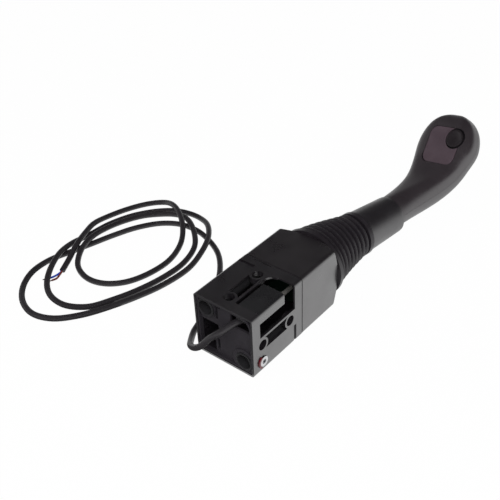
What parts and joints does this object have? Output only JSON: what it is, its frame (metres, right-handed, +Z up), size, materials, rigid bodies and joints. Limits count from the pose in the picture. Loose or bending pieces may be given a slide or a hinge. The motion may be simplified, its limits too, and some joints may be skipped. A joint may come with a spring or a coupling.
{
  "type": "two-axis industrial joystick",
  "caption": "Two-axis industrial joystick with a square panel housing, rubber bellows and a curved palm grip with a push button, lying on its side with its free cable coiled beside it.",
  "frame": {"origin": "middle of the flat side that the housing lies on, half way along lower housing and cover", "axes": "+X along the housing towards the handle, +Y away from the side with the lock screw, +Z up from the side it lies on"},
  "size_m": [0.3665, 0.2682, 0.0848],
  "materials": {
    "housing": "fine satin, moulded black plastic",
    "insert": "satin black plastic",
    "insert_cast": "die casting, painted satin black",
    "cover": "fine satin, moulded black plastic",
    "die_cast": "die-cast, matt",
    "steel": "bright plated steel",
    "brass": "sintered, dull",
    "dish": "slippery bearing plastic",
    "board": "solder-masked board",
    "chip": "moulded black",
    "module": "satin black plastic",
    "tie": "black nylon",
    "lead_wrap": "braided wrap",
    "cable": "soft dark jacket",
    "core_blue": "insulation",
    "core_brown": "insulation",
    "core_red": "insulation",
    "lacquer": "seal lacquer",
    "bellows": "matt moulded rubber",
    "gimbal": "machined",
    "light_alloy": "drawn and turned",
    "tube_steel": "blackened, bright at the mouth",
    "shoe": "bronze",
    "magnet": "nickel plated",
    "sleeve": "satin black",
    "grip_rear": "fine grained black plastic",
    "grip_front": "fine grained black plastic",
    "panel": "finger-worn satin plastic",
    "bezel": "polished black",
    "button": "satin black"
  },
  "bodies": {
    "housing": {"lower_housing": "housing", "end_insert": "insert_cast", "screw_tubes": "tube_steel", "cover": "cover", "bearing_plate": "die_cast", "bearing_screws": "steel", "pivot_bushes": "brass", "friction_dish": "dish", "sensor_carrier": "insert", "sensor_board": "board", "board_parts": "chip", "board_screws": "steel", "plug_module": "module", "cable_clamp": "insert", "cable_tie": "tie", "inner_lead": "lead_wrap", "cable": "cable", "core_blue": "core_blue", "core_brown": "core_brown", "lock_screw": "steel", "seal_lacquer": "lacquer", "bellows_bead": "bellows", "bellows": "bellows"},
    "gimbal": {"gimbal_ring": "gimbal", "gimbal_pins": "steel"},
    "lever": {"lever_shaft": "light_alloy", "cross_pins": "steel", "friction_shoe": "shoe", "shoe_spring": "steel", "sensor_magnet": "magnet", "handle_sleeve": "sleeve", "sleeve_nut": "light_alloy", "grip_rear": "grip_rear", "grip_front": "grip_front", "grip_screws": "steel", "finger_panel": "panel", "button_housing": "bezel", "button_switch": "chip", "switch_leads": "core_red", "button_spring": "steel"},
    "button": {"push_button": "button"}
  },
  "joints": [
    {"name": "side_tilt", "type": "hinge", "parent": "housing", "child": "gimbal", "pos_m": [0.07, 0, 0.027], "axis": [0, 0, 1], "range_deg": [-10, 30], "deforming": ["bellows"]},
    {"name": "fore_aft_tilt", "type": "hinge", "parent": "gimbal", "child": "lever", "pos_m": [0.07, 0, 0.027], "axis": [0.1736, 0.9848, 0], "range_deg": [-20, 20], "deforming": ["bellows"]},
    {"name": "button_press", "type": "slide", "parent": "lever", "child": "button", "axis": [0.7426, -0.2638, -0.6156], "range_m": [0, 0.0018], "stiffness_N_per_m": 1200, "springref_m": -0.001, "deforming": ["button_spring"]}
  ]
}
